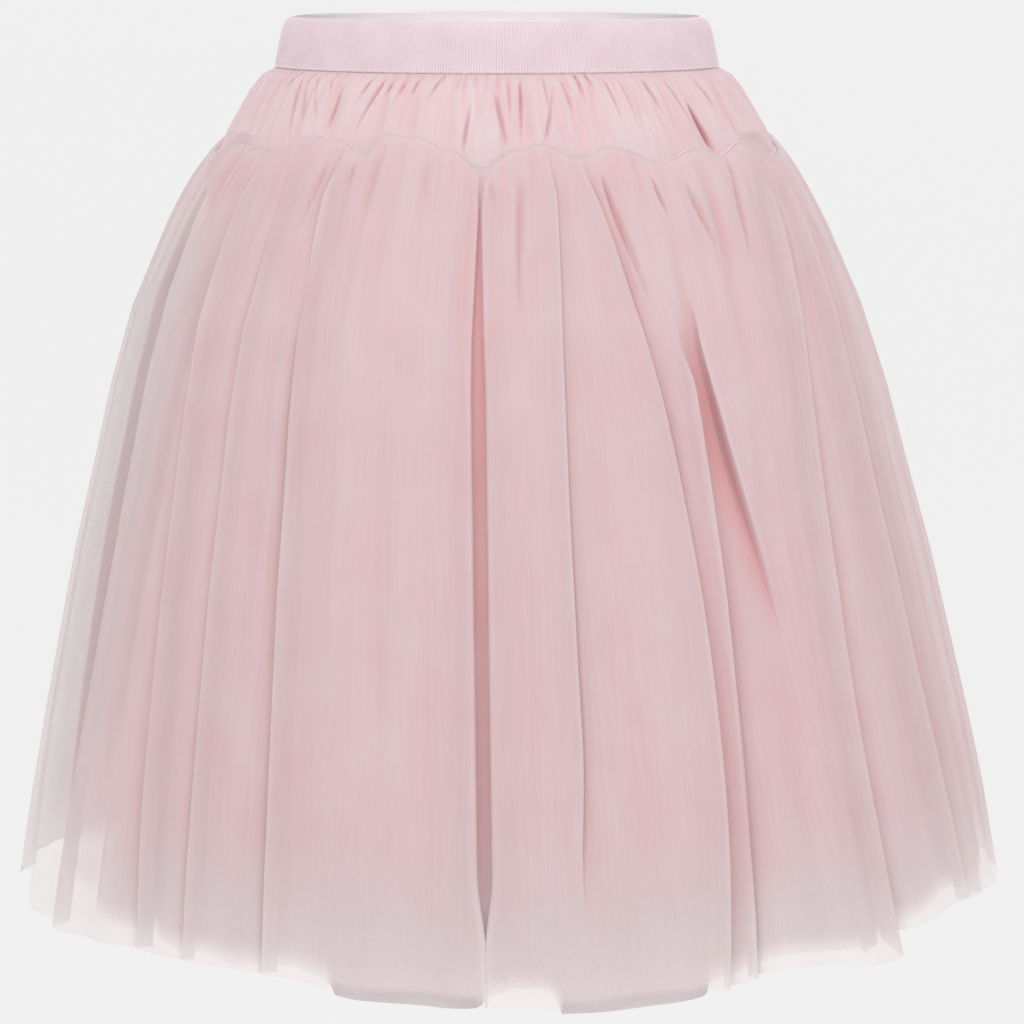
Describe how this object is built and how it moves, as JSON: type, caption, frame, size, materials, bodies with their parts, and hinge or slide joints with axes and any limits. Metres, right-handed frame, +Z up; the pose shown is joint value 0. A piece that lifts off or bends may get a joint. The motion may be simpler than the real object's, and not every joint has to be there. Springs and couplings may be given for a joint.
{
  "type": "tulle skirt",
  "caption": "Knee-length gathered tulle skirt with a ribbed elastic waistband, a short yoke, a full lower tier and a satin lining, filled out as worn.",
  "frame": {"origin": "centre of the waistband, halfway up it, where the wearer's waist holds the skirt", "axes": "+Z up through the waist, -Y towards the front of the skirt, +X towards the side that the viewer sees on the right"},
  "size_m": [0.6011, 0.5261, 0.54],
  "materials": {
    "elastic": "ribbed woven elastic with a soft sheen",
    "tulle": "fine soft net, matt",
    "under_tulle": "fine soft net, matt",
    "satin": "smooth satin with a soft sheen"
  },
  "bodies": {
    "root": {"waistband": "elastic", "yoke_front": "tulle", "yoke_back": "tulle", "lower_tier_front": "tulle", "lower_tier_back": "tulle", "under_tier_front": "under_tulle", "under_tier_back": "under_tulle", "lining_front": "satin", "lining_back": "satin"}
  },
  "joints": []
}
